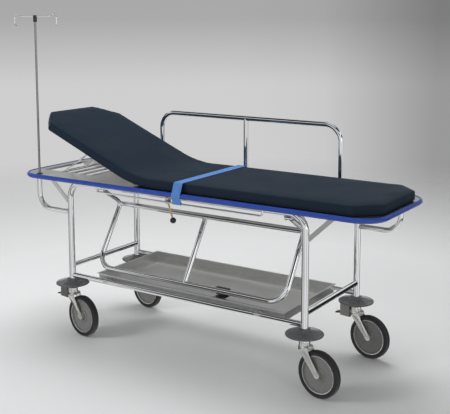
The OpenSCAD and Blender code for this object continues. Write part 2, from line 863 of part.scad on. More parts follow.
// Raked fork: crown round the stem and two side plates down to the axle
module fork(end, side) {
    boss_r = 15;
    head_x = -22;
    foot_x = 40;
    top_t = 5;
    plate_y = fork_gap + fork_t / 2;
    neck_r = boss_r - 2;
    rake = atan2(caster_trail - 14, crown_z - wheel_r);
    axle_nx = neck_r * cos(rake);
    axle_nz = neck_r * sin(rake);
    color("silver")
    on_caster(end, side) difference() {
        union() {
            translate([0, 0, crown_z]) cylinder(h = crown_top - crown_z, r = crown_r);
            translate([head_x, -fork_gap - fork_t, crown_z])
                cube([foot_x - head_x, 2 * (fork_gap + fork_t), top_t]);
            for (plate = [-1, 1]) translate([0, plate * plate_y, 0]) rotate([90, 0, 0])
                linear_extrude(fork_t, center = true) {
                    polygon([
                        [head_x, crown_z + top_t], [foot_x, crown_z + top_t], [foot_x, crown_z - 8],
                        [caster_trail + axle_nx, wheel_r + axle_nz],
                        [caster_trail - axle_nx, wheel_r - axle_nz], [head_x, crown_z - 30]
                    ]);
                    translate([caster_trail, wheel_r]) circle(r = boss_r);
                }
        }
        translate([0, 0, crown_z - 40]) cylinder(h = 100, r = stem_r + run);
        translate([caster_trail, 0, wheel_r]) y_cylinder(100, axle_r + run);
    }
}

module axle(end, side) {
    head_t = 6;
    head_r = 10;
    reach = fork_gap + fork_t + seat;
    color("silver")
    on_caster(end, side) translate([caster_trail, 0, wheel_r]) {
        y_cylinder(2 * reach, axle_r);
        for (head = [-1, 1]) translate([0, head * (reach + head_t / 2), 0]) rotate([90, 0, 0])
            cylinder(h = head_t, r = head_r, center = true, $fn = 6);
    }
}

module tyre(end, side) {
    shoulder = 6;
    color("#26272b")
    on_caster(end, side) translate([caster_trail, 0, wheel_r]) rotate([90, 0, 0]) rotate_extrude(convexity = 4)
        polygon([
            [tyre_inner_r, -wheel_w / 2 + 2], [wheel_r - shoulder, -wheel_w / 2],
            [wheel_r - 2, -wheel_w / 2 + 4], [wheel_r, -wheel_w / 2 + 9],
            [wheel_r, wheel_w / 2 - 9], [wheel_r - 2, wheel_w / 2 - 4],
            [wheel_r - shoulder, wheel_w / 2], [tyre_inner_r, wheel_w / 2 - 2]
        ]);
}

module wheel_centre(end, side) {
    rim_r = tyre_inner_r - run;
    rim_in = rim_r - 7;
    web = 4;
    hub = 20;
    hub_w = fork_gap - 1;
    color("lightgray")
    on_caster(end, side) translate([caster_trail, 0, wheel_r]) rotate([90, 0, 0]) rotate_extrude(convexity = 6)
        polygon([
            [axle_r + run, -hub_w], [hub - 2, -hub_w], [hub, -hub_w + 2], [hub + 4, -web - 4], [rim_in - 6, -web],
            [rim_in, -wheel_w / 2 + 3], [rim_r, -wheel_w / 2 + 3],
            [rim_r, wheel_w / 2 - 3], [rim_in, wheel_w / 2 - 3],
            [rim_in - 6, web], [hub + 4, web + 4], [hub, hub_w - 2], [hub - 2, hub_w], [axle_r + run, hub_w]
        ]);
}

// Brake housing, on the side of the swivel axis away from the wheel
module brake_cover(end, side) {
    cover_w = 34;
    cover_t = 2.5;
    cover_low = 176;
    cover_top = crown_top - 1;
    far_x = -78;
    near_x = -25.4;
    color("silver")
    on_caster(end, side) {
        difference() {
            translate([far_x, -cover_w / 2, cover_low]) cube([near_x - far_x, cover_w, cover_top - cover_low]);
            translate([far_x - 1, -cover_w / 2 + cover_t, cover_low - 1])
                cube([near_x - far_x + 1 - cover_t, cover_w - 2 * cover_t, cover_top - cover_low + 1 - cover_t]);
            cylinder(h = crown_top + 1, r = crown_r + seat);
        }
        translate([brake_x, 0, brake_z]) y_cylinder(cover_w, brake_pin_r);
    }
}

module brake_pedal(end, side) {
    pedal_w = 24;
    pedal_t = 7;
    reach = 52;
    boss_w = 27;
    boss_r = 8;
    tilt = 12;
    color("#141414")
    on_caster(end, side) translate([brake_x, 0, brake_z]) difference() {
        union() {
            y_cylinder(boss_w, boss_r);
            rotate([0, -tilt, 0]) translate([-reach, -pedal_w / 2, -4]) cube([reach - 5.5, pedal_w, pedal_t]);
        }
        y_cylinder(boss_w + 2, brake_pin_r + run);
    }
}

side_frame(RIGHT);  // side_frame_right
side_frame(LEFT);  // side_frame_left
lower_tube(RIGHT);  // lower_tube_right
lower_tube(LEFT);  // lower_tube_left
end_tubes();
cross_members();
corner_braces();
corner_loop(HEAD, RIGHT);  // corner_loop_head
corner_loop(FOOT, LEFT);  // corner_loop_foot
pole_socket();
deck_plate();
prop_rack();
bumper_strip();
tray();
tray_clips();
strap_rods();
rail_brackets();
rail_pivot_pins();
rail_rests();
rail_rest_pads();
disc_bumpers();
caster_stems();
mattress_seat();
backrest_hinge();
restraint_strap();
latch_brackets();
backrest_panel();
mattress_back();
prop_bail();
rail_frame(RIGHT, rail_turn);  // rail_frame_right
rail_bars(RIGHT, rail_turn);  // rail_bars_right
rail_frame(LEFT, 0);  // rail_frame_left
rail_bars(LEFT, 0);  // rail_bars_left
latch_lever(RIGHT);  // latch_lever_right
latch_knob(RIGHT);  // latch_knob_right
latch_lever(LEFT);  // latch_lever_left
latch_knob(LEFT);  // latch_knob_left
iv_pole();
iv_hub();
iv_hooks();
fork(HEAD, RIGHT);  // fork_head_right
axle(HEAD, RIGHT);  // axle_head_right
tyre(HEAD, RIGHT);  // tyre_head_right
wheel_centre(HEAD, RIGHT);  // wheel_centre_head_right
fork(HEAD, LEFT);  // fork_head_left
axle(HEAD, LEFT);  // axle_head_left
tyre(HEAD, LEFT);  // tyre_head_left
wheel_centre(HEAD, LEFT);  // wheel_centre_head_left
fork(FOOT, RIGHT);  // fork_foot_right
axle(FOOT, RIGHT);  // axle_foot_right
tyre(FOOT, RIGHT);  // tyre_foot_right
wheel_centre(FOOT, RIGHT);  // wheel_centre_foot_right
fork(FOOT, LEFT);  // fork_foot_left
axle(FOOT, LEFT);  // axle_foot_left
tyre(FOOT, LEFT);  // tyre_foot_left
wheel_centre(FOOT, LEFT);  // wheel_centre_foot_left
brake_cover(HEAD, RIGHT);  // brake_cover_head_right
brake_pedal(HEAD, RIGHT);  // brake_pedal_head_right
brake_cover(FOOT, LEFT);  // brake_cover_foot_left
brake_pedal(FOOT, LEFT);  // brake_pedal_foot_left
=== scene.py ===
import json
import math

import bmesh
import bpy
from mathutils import Matrix, Vector
from mathutils.bvhtree import BVHTree


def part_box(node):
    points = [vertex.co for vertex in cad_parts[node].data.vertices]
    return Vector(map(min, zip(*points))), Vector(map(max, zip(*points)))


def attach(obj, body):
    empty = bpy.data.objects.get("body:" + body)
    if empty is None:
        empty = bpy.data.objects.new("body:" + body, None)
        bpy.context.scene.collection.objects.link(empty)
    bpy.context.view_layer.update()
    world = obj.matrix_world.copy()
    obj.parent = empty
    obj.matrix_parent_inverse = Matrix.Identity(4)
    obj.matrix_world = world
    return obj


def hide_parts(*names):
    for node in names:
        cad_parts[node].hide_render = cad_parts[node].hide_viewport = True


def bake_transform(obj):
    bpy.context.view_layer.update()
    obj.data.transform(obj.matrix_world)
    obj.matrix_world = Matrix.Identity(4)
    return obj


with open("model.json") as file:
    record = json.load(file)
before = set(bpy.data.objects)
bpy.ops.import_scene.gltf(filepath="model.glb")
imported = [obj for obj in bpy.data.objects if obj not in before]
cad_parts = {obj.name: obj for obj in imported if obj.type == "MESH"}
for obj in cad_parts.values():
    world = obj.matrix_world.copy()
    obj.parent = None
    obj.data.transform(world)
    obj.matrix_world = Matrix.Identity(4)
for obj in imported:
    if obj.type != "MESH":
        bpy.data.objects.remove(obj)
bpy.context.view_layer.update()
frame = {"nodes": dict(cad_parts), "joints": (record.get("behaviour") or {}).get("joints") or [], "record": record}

NODES = frame["nodes"]
JOINTS = {j["name"]: j for j in frame["joints"]}
CORNERS = ("head_right", "head_left", "foot_right", "foot_left")
MM = 0.001


def middle(node):
    """Centre of a CAD node's box."""
    low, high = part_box(node)
    return (low + high) / 2


# ---------- materials ----------

def new_material(name, color, metallic=0.0, roughness=0.5):
    """A Principled material, its node tree and its shader."""
    material = bpy.data.materials.new(name)
    material.use_nodes = True
    tree = material.node_tree
    shader = tree.nodes["Principled BSDF"]
    shader.inputs["Base Color"].default_value = (*color, 1)
    shader.inputs["Metallic"].default_value = metallic
    shader.inputs["Roughness"].default_value = roughness
    return material, tree, shader


def object_place(tree, scale=(1, 1, 1)):
    """Object coordinates, scaled along each axis."""
    place = tree.nodes.new("ShaderNodeTexCoord")
    mapping = tree.nodes.new("ShaderNodeMapping")
    mapping.inputs["Scale"].default_value = scale
    tree.links.new(place.outputs["Object"], mapping.inputs["Vector"])
    return mapping.outputs["Vector"]


def noise_value(tree, place, scale, detail=3.0):
    """Noise from 0 to 1 at a place."""
    node = tree.nodes.new("ShaderNodeTexNoise")
    node.inputs["Scale"].default_value = scale
    node.inputs["Detail"].default_value = detail
    tree.links.new(place, node.inputs["Vector"])
    return node.outputs["Fac"]


def wave_value(tree, place, direction, scale):
    """Straight bands from 0 to 1 along an axis."""
    node = tree.nodes.new("ShaderNodeTexWave")
    node.bands_direction = direction
    node.inputs["Scale"].default_value = scale
    tree.links.new(place, node.inputs["Vector"])
    return node.outputs["Fac"]


def to_range(tree, value, low, high):
    """A 0 to 1 value carried to a range."""
    node = tree.nodes.new("ShaderNodeMapRange")
    node.inputs["From Min"].default_value = 0.3
    node.inputs["From Max"].default_value = 0.7
    node.inputs["To Min"].default_value = low
    node.inputs["To Max"].default_value = high
    tree.links.new(value, node.inputs["Value"])
    return node.outputs["Result"]


def mixed_color(tree, value, low, high):
    """A colour between two, by a value."""
    node = tree.nodes.new("ShaderNodeMix")
    node.data_type = "RGBA"
    node.inputs[6].default_value = (*low, 1)
    node.inputs[7].default_value = (*high, 1)
    tree.links.new(value, node.inputs[0])
    return node.outputs[2]


def combine(tree, a, b, operation="ADD"):
    """Two values joined by one operation."""
    node = tree.nodes.new("ShaderNodeMath")
    node.operation = operation
    tree.links.new(a, node.inputs[0])
    tree.links.new(b, node.inputs[1])
    return node.outputs[0]


def add_bump(tree, shader, height, distance, strength=1.0):
    """Bump of a height value, its full height given in metres."""
    bump = tree.nodes.new("ShaderNodeBump")
    bump.inputs["Distance"].default_value = distance
    bump.inputs["Strength"].default_value = strength
    tree.links.new(height, bump.inputs["Height"])
    tree.links.new(bump.outputs["Normal"], shader.inputs["Normal"])


def chrome_material(name, color, smear, polish=0.035):
    """Polished chrome with faint hand smears and polishing marks."""
    material, tree, shader = new_material(name, color, metallic=1.0)
    place = object_place(tree)
    smears = noise_value(tree, place, 9.0, 5.0)
    tree.links.new(to_range(tree, smears, polish, smear), shader.inputs["Roughness"])
    darker = tuple(c * 0.86 for c in color)
    tint = mixed_color(tree, noise_value(tree, place, 3.0), color, darker)
    tree.links.new(tint, shader.inputs["Base Color"])
    add_bump(tree, shader, noise_value(tree, place, 30.0), 0.00003, 0.4)
    return material


def sheet_material(name, color, grain):
    """Brushed sheet steel: fine streaks along the length, and cloudy patches."""
    material, tree, shader = new_material(name, color, metallic=1.0)
    streaks = noise_value(tree, object_place(tree, grain), 260.0, 4.0)
    clouds = noise_value(tree, object_place(tree), 5.0, 4.0)
    tone = combine(tree, to_range(tree, streaks, 0.0, 0.5), to_range(tree, clouds, 0.0, 0.3))
    darker = tuple(c * 0.84 for c in color)
    tree.links.new(mixed_color(tree, tone, color, darker), shader.inputs["Base Color"])
    tree.links.new(to_range(tree, clouds, 0.28, 0.36), shader.inputs["Roughness"])
    add_bump(tree, shader, streaks, 0.00004, 0.4)
    return material


def moulded_material(name, color, roughness, grain, mottle=0.8):
    """Moulded rubber or plastic with a fine surface grain."""
    material, tree, shader = new_material(name, color)
    place = object_place(tree)
    clouds = noise_value(tree, place, 14.0, 4.0)
    tint = mixed_color(tree, clouds, color, tuple(c * mottle for c in color))
    tree.links.new(tint, shader.inputs["Base Color"])
    tree.links.new(to_range(tree, clouds, roughness, roughness * 1.25), shader.inputs["Roughness"])
    add_bump(tree, shader, noise_value(tree, place, grain, 2.0), 0.00012, 0.5)
    return material


def cover_material():
    """Navy coated nylon: a fine plain weave, soft creases and a slight sheen."""
    navy = (0.0115, 0.0200, 0.0320)
    material, tree, shader = new_material("navy_cover_look", navy)
    threads = object_place(tree)
    warp = wave_value(tree, threads, "X", 260.0)
    weft = wave_value(tree, threads, "Y", 260.0)
    weave = combine(tree, warp, weft, "MULTIPLY")
    clouds = noise_value(tree, object_place(tree), 4.5, 5.0)
    creases = noise_value(tree, object_place(tree, (1.0, 1.6, 1.6)), 11.0, 3.0)
    worn = tuple(c * 1.35 for c in navy)
    tree.links.new(mixed_color(tree, clouds, navy, worn), shader.inputs["Base Color"])
    tree.links.new(to_range(tree, clouds, 0.52, 0.66), shader.inputs["Roughness"])
    shader.inputs["Specular IOR Level"].default_value = 0.10
    fine = tree.nodes.new("ShaderNodeBump")
    fine.inputs["Distance"].default_value = 0.00025
    fine.inputs["Strength"].default_value = 0.5
    tree.links.new(weave, fine.inputs["Height"])
    broad = tree.nodes.new("ShaderNodeBump")
    broad.inputs["Distance"].default_value = 0.0035
    broad.inputs["Strength"].default_value = 0.35
    tree.links.new(creases, broad.inputs["Height"])
    tree.links.new(fine.outputs["Normal"], broad.inputs["Normal"])
    tree.links.new(broad.outputs["Normal"], shader.inputs["Normal"])
    return material


def webbing_material():
    """Blue woven webbing: ribs across the strap and a finer twill along it."""
    blue = (0.100, 0.270, 0.680)
    material, tree, shader = new_material("blue_webbing_look", blue, roughness=0.62)
    place = object_place(tree)
    ribs = wave_value(tree, place, "Y", 330.0)
    drops = wave_value(tree, place, "Z", 330.0)
    cords = wave_value(tree, place, "X", 150.0)
    height = combine(tree, combine(tree, ribs, drops, "MULTIPLY"), cords)
    tree.links.new(mixed_color(tree, cords, blue, tuple(c * 0.72 for c in blue)), shader.inputs["Base Color"])
    shader.inputs["Sheen Weight"].default_value = 0.05
    add_bump(tree, shader, height, 0.0005, 0.6)
    return material


CHROME = chrome_material("chrome_tube_look", (0.80, 0.81, 0.82), 0.06)
FITTING = chrome_material("chrome_fitting_look", (0.78, 0.78, 0.76), 0.34, 0.20)
# Darker copy of the chrome for the IV pole: painted shade standing in for the dark reflections on the pole
POLE_CHROME_PAINTED_SHADE = chrome_material("pole_chrome_painted_shade_look", (0.30, 0.30, 0.31), 0.30, 0.18)
BRAKE_METAL = chrome_material("brake_metal_look", (0.26, 0.26, 0.25), 0.40, 0.25)
SHEET = sheet_material("stainless_sheet_look", (0.62, 0.62, 0.61), (0.02, 1, 1))
TRAY = sheet_material("tray_sheet_look", (0.78, 0.78, 0.77), (0.015, 1, 1))
BUMPER_BLUE = moulded_material("blue_bumper_look", (0.016, 0.060, 0.380), 0.34, 900.0)
DISC_GREY = moulded_material("grey_rubber_look", (0.110, 0.113, 0.118), 0.24, 500.0)
PAD_BLACK = moulded_material("black_rubber_look", (0.014, 0.014, 0.015), 0.55, 400.0)
TYRE = moulded_material("tyre_rubber_look", (0.013, 0.013, 0.016), 0.50, 420.0)
WHEEL_GREY = moulded_material("wheel_plastic_look", (0.205, 0.208, 0.200), 0.34, 350.0, 0.86)
BLACK_PLASTIC = moulded_material("black_plastic_look", (0.010, 0.010, 0.011), 0.16, 200.0)
SOCKET = moulded_material("socket_plastic_look", (0.055, 0.055, 0.058), 0.45, 300.0)
BRASS = chrome_material("brass_rod_look", (0.60, 0.44, 0.20), 0.24)
COVER = cover_material()
WEBBING = webbing_material()

SLOT_LOOKS = {
    "chrome_tube": CHROME,
    "chrome_fitting": FITTING,
    "brake_metal": BRAKE_METAL,
    "stainless_sheet": SHEET,
    "tray_sheet": TRAY,
    "blue_bumper": BUMPER_BLUE,
    "grey_rubber": DISC_GREY,
    "black_rubber": PAD_BLACK,
    "tyre_rubber": TYRE,
    "wheel_plastic": WHEEL_GREY,
    "black_plastic": BLACK_PLASTIC,
    "socket_plastic": SOCKET,
    "brass_rod": BRASS,
    "navy_cover": COVER,
    "blue_webbing": WEBBING,
}

# Edge rounding of the carried-over nodes, in millimetres, where it isn't the usual one
EDGE_ROUNDING = {
    "brake_cover_head_right": 3.0,
    "brake_cover_foot_left": 3.0,
    "brake_pedal_head_right": 2.0,
    "brake_pedal_foot_left": 2.0,
    "tray_clips": 0.7,
    "rail_rest_pads": 1.5,
    "cross_members": 1.2,
    "iv_hub": 1.5,
}
USUAL_ROUNDING = 0.5


def dress_cad_nodes():
    """Gives every carried-over CAD node its procedural look, smooth shading and rounded edges."""
    for part in frame["record"]["subparts"]:
        node = NODES[part["node"]]
        node.data.materials.clear()
        # The IV pole takes the darker chrome copy, painted shade for its dark reflections
        look = POLE_CHROME_PAINTED_SHADE if part["node"] == "iv_pole" else SLOT_LOOKS[part["material_slot"]]
        node.data.materials.append(look)
        for face in node.data.polygons:
            face.use_smooth = True
        node.data.set_sharp_from_angle(angle=math.radians(32))
        edge = node.modifiers.new("edge_rounding", "BEVEL")
        edge.width = EDGE_ROUNDING.get(part["node"], USUAL_ROUNDING) * MM
        edge.segments = 2
        edge.limit_method = "ANGLE"
        edge.angle_limit = math.radians(50)
        edge.use_clamp_overlap = True
        edge.harden_normals = False


# ---------- mesh helpers ----------

def finish_mesh(name, mesh, look, smooth_angle=38):
    """A new object of a bmesh, with outward faces and smooth shading."""
    bmesh.ops.remove_doubles(mesh, verts=mesh.verts, dist=1e-6)
    bmesh.ops.recalc_face_normals(mesh, faces=mesh.faces)
    data = bpy.data.meshes.new(name)
    mesh.to_mesh(data)
    mesh.free()
    data.materials.append(look)
    for face in data.polygons:
        face.use_smooth = True
    data.set_sharp_from_angle(angle=math.radians(smooth_angle))
    piece = bpy.data.objects.new(name, data)
    bpy.context.scene.collection.objects.link(piece)
    return piece


def settle(piece, body, slot, *nodes):
    """Puts a finished piece on its body and hides the nodes that it stands for; its slot is not used."""
    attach(piece, body)
    if nodes:
        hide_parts(*nodes)
    return piece


def loft(mesh, rings, closed=False, caps=False):
    """Skins rings of points, each a closed loop of the same count."""
    made = [[mesh.verts.new(p) for p in ring] for ring in rings]
    count = len(made[0])
    pairs = list(zip(made, made[1:]))
    if closed:
        pairs.append((made[-1], made[0]))
    for a, b in pairs:
        for i in range(count):
            j = (i + 1) % count
            mesh.faces.new((a[i], a[j], b[j], b[i]))
    if caps and not closed:
        mesh.faces.new(made[0][::-1])
        mesh.faces.new(made[-1])


def turned(mesh, outline, centre, across, along, steps, wobble=None):
    """Turns a closed outline of (radius, height) about the axis along, with across as its first direction."""
    side = along.cross(across)
    rings = []
    for k in range(steps):
        angle = 2 * math.pi * k / steps
        out = across * math.cos(angle) + side * math.sin(angle)
        rings.append([
            centre + out * r + along * (h + (wobble(r, angle) if wobble else 0.0)) for r, h in outline
        ])
    loft(mesh, rings, closed=True)


def arc(cx, cy, r, start, end, steps):
    """Points of an arc in the plane, angles in degrees."""
    return [
        (cx + r * math.cos(math.radians(start + (end - start) * k / steps)),
         cy + r * math.sin(math.radians(start + (end - start) * k / steps)))
        for k in range(steps + 1)
    ]


def rounded_outline(points, radius, steps=4):
    """A closed polygon with its corners rounded; radius is one number or one for each corner."""
    out = []
    count = len(points)
    for i, p in enumerate(points):
        corner = Vector(p)
        before = Vector(points[i - 1]) - corner
        after = Vector(points[(i + 1) % count]) - corner
        r = radius[i] if hasattr(radius, "__len__") else radius
        reach = min(r, before.length * 0.48, after.length * 0.48)
        a = corner + before.normalized() * reach
        b = corner + after.normalized() * reach
        for k in range(steps + 1):
            t = k / steps
            out.append(tuple(a * (1 - t) ** 2 + corner * 2 * t * (1 - t) + b * t ** 2))
    return out


def slab(mesh, outline, origin, u, v, thickness, edge=0.0008):
    """A plate of a closed outline in the u, v plane, with softened edges, centred on its thickness."""
    n = u.cross(v).normalized()
    middle_point = Vector((sum(p[0] for p in outline), sum(p[1] for p in outline))) / len(outline)
    rings = []
    half = thickness / 2
    for height, inset in ((-half, edge), (-half + edge * 0.3, edge * 0.3), (-half + edge, 0.0),
                          (half - edge, 0.0), (half - edge * 0.3, edge * 0.3), (half, edge)):
        ring = []
        for p in outline:
            point = Vector(p)
            inward = (middle_point - point).normalized() * inset
            q = point + inward
            ring.append(origin + u * q.x + v * q.y + n * height)
        rings.append(ring)
    loft(mesh, rings, caps=True)


def swept_tube(mesh, path, r, sides=10, closed=False):
    """A round cord along a path of points."""
    rings = []
    count = len(path)
    up = None
    for i, p in enumerate(path):
        ahead = path[(i + 1) % count] if closed or i < count - 1 else p
        back = path[i - 1] if closed or i > 0 else p
        t = (ahead - back).normalized()
        if up is None:
            up = t.orthogonal().normalized()
        up = (up - t * up.dot(t)).normalized()
        side = t.cross(up)
        rings.append([
            p + (up * math.cos(2 * math.pi * k / sides) + side * math.sin(2 * math.pi * k / sides)) * r
            for k in range(sides)
        ])
    if closed:
        first, last = rings[0], rings[-1]
        turn = min(range(sides),
                   key=lambda s: sum((last[(k + s) % sides] - first[k]).length for k in range(sides)))
        steps = len(rings)
        shift_rings = []
        for i, ring in enumerate(rings):
            a = -2 * math.pi * turn / sides * i / steps
            centre = sum(ring, Vector()) / sides
            axis = (path[(i + 1) % count] - path[i - 1]).normalized()
            spin = Matrix.Rotation(-a, 3, axis)
            shift_rings.append([centre + spin @ (q - centre) for q in ring])
        rings = shift_rings
    loft(mesh, rings, closed=closed, caps=not closed)


# ---------- casters ----------

def build_wheel(corner):
    """Tyre with a crowned tread, and a dished wheel centre with its hub and rim ring."""
    roll = JOINTS["roll_" + corner]
    centre, axis = Vector(roll["pos_m"]), Vector(roll["axis"]).normalized()
    up = Vector((0, 0, 1))
    low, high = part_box("tyre_" + corner)
    wheel_r = (high.z - low.z) / 2
    width = 32 * MM
    half = width / 2
    seat_r = 84 * MM

    tread = [(seat_r, -half + 2 * MM), (seat_r + 4 * MM, -half + 0.8 * MM),
             (wheel_r - 9 * MM, -half + 0.2 * MM)]
    tread += [(wheel_r - 7.2 * MM, -half + 0.9 * MM), (wheel_r - 6.2 * MM, -half + 0.3 * MM)]
    tread += [(wheel_r - 6 * MM + 6 * MM * math.sin(a), -half + 9 * MM - 9 * MM * math.cos(a))
              for a in (0.25, 0.55, 0.85, 1.15, 1.4)]
    tread += [(wheel_r, -4 * MM), (wheel_r, 0.0)]
    tread += [(r, -h) for r, h in reversed(tread[:-1])]
    mesh = bmesh.new()
    turned(mesh, tread, centre, up, axis, 112)
    settle(finish_mesh("tyre_detail_" + corner, mesh, TYRE, 50), "wheel_" + corner,
           "tyre_rubber", "tyre_" + corner)

    hub_half = 19 * MM
    bore = 6.4 * MM
    face = half - 3 * MM
    rim = seat_r - 0.2 * MM
    side = [(bore, hub_half - 1 * MM), (bore + 1 * MM, hub_half), (17.4 * MM, hub_half),
            (19 * MM, hub_half - 1.4 * MM),
            (19.6 * MM, hub_half - 5 * MM), (22 * MM, 9.4 * MM), (29 * MM, 8.2 * MM), (31 * MM, 9.2 * MM),
            (33 * MM, 9.0 * MM), (35 * MM, 6.2 * MM), (52 * MM, 4.6 * MM), (66 * MM, 4.4 * MM),
            (72 * MM, 5.4 * MM),
            (75 * MM, 9.5 * MM), (76.4 * MM, face - 0.6 * MM), (77.6 * MM, face), (82 * MM, face),
            (rim, face - 1.2 * MM)]
    outline = side + [(r, -h) for r, h in reversed(side)]
    mesh = bmesh.new()
    turned(mesh, outline, centre, up, axis, 112)
    settle(finish_mesh("wheel_centre_detail_" + corner, mesh, WHEEL_GREY, 30), "wheel_" + corner,
           "wheel_plastic", "wheel_centre_" + corner)

    mesh = bmesh.new()
    for sign in (-1, 1):
        ring = [(r, sign * h) for r, h in (
            (78.2 * MM, face - 0.6 * MM), (78.6 * MM, face + 0.5 * MM), (80.6 * MM, face + 0.7 * MM),
            (81.4 * MM, face - 0.6 * MM))]
        turned(mesh, ring, centre, up, axis, 112)
        cap = [(r, sign * h) for r, h in (
            (bore, hub_half - 0.6 * MM), (bore, hub_half + 0.5 * MM), (11.4 * MM, hub_half + 0.55 * MM),
            (12.2 * MM, hub_half - 0.6 * MM))]
        turned(mesh, cap, centre, up, axis, 48)
    settle(finish_mesh("wheel_trim_" + corner, mesh, FITTING, 30), "wheel_" + corner, "chrome_fitting")


def build_fork(corner):
    """Pressed fork: domed crown, shoulders and two tapering legs with rounded edges."""
    swivel, roll = JOINTS["swivel_" + corner], JOINTS["roll_" + corner]
    pivot, hub = Vector(swivel["pos_m"]), Vector(roll["pos_m"])
    axis = Vector(roll["axis"]).normalized()
    up = Vector((0, 0, 1))
    foot = Vector((hub.x - pivot.x, hub.y - pivot.y, 0)).normalized()
    base = Vector((pivot.x, pivot.y, 0))
    trail = (hub - Vector((pivot.x, pivot.y, hub.z))).length
    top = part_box("fork_" + corner)[1].z
    crown = top - 27 * MM
    plate_y = 21.5 * MM

    mesh = bmesh.new()
    stem = 9.4 * MM
    dome = [(stem, top), (19 * MM, top)] + arc(19 * MM, top - 5 * MM, 5 * MM, 90, 10, 5)[1:]
    dome = [(r, h - top) for r, h in dome]
    bell = dome + [(24.2 * MM, -12 * MM), (25 * MM, -17 * MM), (25 * MM, -25.6 * MM), (24 * MM, -27 * MM),
                   (stem, -27 * MM)]
    turned(mesh, bell, base + up * top, foot, up, 56)
    for r, h, band in ((24.7 * MM, 11.5 * MM, 1.0 * MM), (24.9 * MM, 15.2 * MM, 0.8 * MM)):
        turned(mesh, [(r - 1 * MM, -h - band), (r + 0.2 * MM, -h - band), (r + 0.6 * MM, -h),
                      (r + 0.2 * MM, -h + band), (r - 1 * MM, -h + band)], base + up * top, foot, up, 56)

    yoke = [(-21 * MM, -23 * MM), (21 * MM, -23 * MM), (21 * MM, 23 * MM), (-21 * MM, 23 * MM)]
    yoke = rounded_outline(yoke, 9 * MM, 6)
    slab(mesh, yoke, base + up * (crown + 2.5 * MM), foot, up.cross(foot), 5 * MM, 1.6 * MM)

    drop = hub.z - crown
    eye_r = 13.5 * MM
    front = [(-20 * MM, 4.8 * MM), (27 * MM, 4.8 * MM), (33 * MM, -10 * MM), (trail * 0.66, drop * 0.45)]
    eye = arc(trail, drop, eye_r, 42, -138, 12)
    back = [(trail * 0.36, drop * 0.60), (-6 * MM, -26 * MM), (-20 * MM, -10 * MM)]
    outline = rounded_outline(front + [eye[0]], [5 * MM, 5 * MM, 14 * MM, 40 * MM, 0.1 * MM], 5)[:-6] + eye
    outline += rounded_outline([eye[-1]] + back, [0.1 * MM, 40 * MM, 16 * MM, 8 * MM], 5)[6:]
    for sign in (-1, 1):
        slab(mesh, outline, base + up * crown + axis * (sign * plate_y), foot, up, 3 * MM, 0.9 * MM)
        nut_base = hub + axis * (sign * 23 * MM)
        washer = [(6.5 * MM, 0), (11.6 * MM, 0), (11.6 * MM, 0.8 * MM), (11 * MM, 1.2 * MM),
                  (6.5 * MM, 1.2 * MM)]
        turned(mesh, washer, nut_base, up, axis * sign, 40)
    settle(finish_mesh("fork_detail_" + corner, mesh, FITTING, 34), "fork_" + corner,
           "chrome_fitting", "fork_" + corner)


def build_disc(mesh, corner):
    """Moulded rubber disc with a rolled lip, a soft cone and faint radial ribs."""
    centre = Vector(JOINTS["swivel_" + corner]["pos_m"])
    centre.z = 0
    low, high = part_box("disc_bumpers")
    bore = 16.2 * MM
    disc_r = 83 * MM
    base, top = low.z, high.z
    outline = [(bore, base + 9 * MM), (30 * MM, base + 6.8 * MM), (56 * MM, base + 3.9 * MM),
               (disc_r - 5 * MM, base + 1.6 * MM)]
    outline += [(disc_r - 3.4 * MM + 3.4 * MM * math.cos(a), base + 4 * MM + 3.8 * MM * math.sin(a))
                for a in (-1.5, -0.9, -0.3, 0.3, 0.9, 1.4)]
    outline += [(disc_r - 6 * MM, base + 7.6 * MM), (70 * MM, base + 9.8 * MM), (52 * MM, base + 14.6 * MM),
                (37 * MM, base + 20 * MM), (31 * MM, base + 22 * MM), (29 * MM, base + 24.4 * MM),
                (26 * MM, top), (19 * MM, top), (bore, top - 1.2 * MM)]

    def ribs(r, angle):
        spread = max(0.0, min(1.0, (r - 34 * MM) / (20 * MM))) * max(0.0, min(1.0, (78 * MM - r) / (12 * MM)))
        return 0.9 * MM * spread * max(0.0, math.cos(8 * angle)) ** 6

    turned(mesh, outline, centre, Vector((1, 0, 0)), Vector((0, 0, 1)), 128, ribs)


def build_casters():
    for corner in CORNERS:
        build_wheel(corner)
        build_fork(corner)
    mesh = bmesh.new()
    for corner in CORNERS:
        build_disc(mesh, corner)
    settle(finish_mesh("disc_bumpers_detail", mesh, DISC_GREY, 40), "frame", "grey_rubber", "disc_bumpers")
    mesh = bmesh.new()
    for corner in CORNERS:
        centre = Vector(JOINTS["swivel_" + corner]["pos_m"])
        centre.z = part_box("fork_" + corner)[1].z
        seal = [(20.5 * MM, 1.2 * MM), (23.4 * MM, 1.2 * MM), (23.4 * MM, 5.4 * MM), (20.5 * MM, 5.4 * MM)]
        seal = rounded_outline(seal, 1.2 * MM, 3)
        turned(mesh, seal, centre, Vector((1, 0, 0)), Vector((0, 0, 1)), 56)
    settle(finish_mesh("swivel_seals", mesh, PAD_BLACK), "frame", "black_rubber")


# ---------- bumper strip ----------

def bumper_path(half_l, half_w, corner_r, steps=18):
    """Points and outward directions round the deck edge."""
    out = []
    for sx, sy, start in ((1, 1, 0), (-1, 1, 90), (-1, -1, 180), (1, -1, 270)):
        cx, cy = sx * (half_l - corner_r), sy * (half_w - corner_r)
        for k in range(steps + 1):
            a = math.radians(start + 90 * k / steps)
            out.append((cx, cy, Vector((math.cos(a), math.sin(a), 0)), corner_r))
    return out


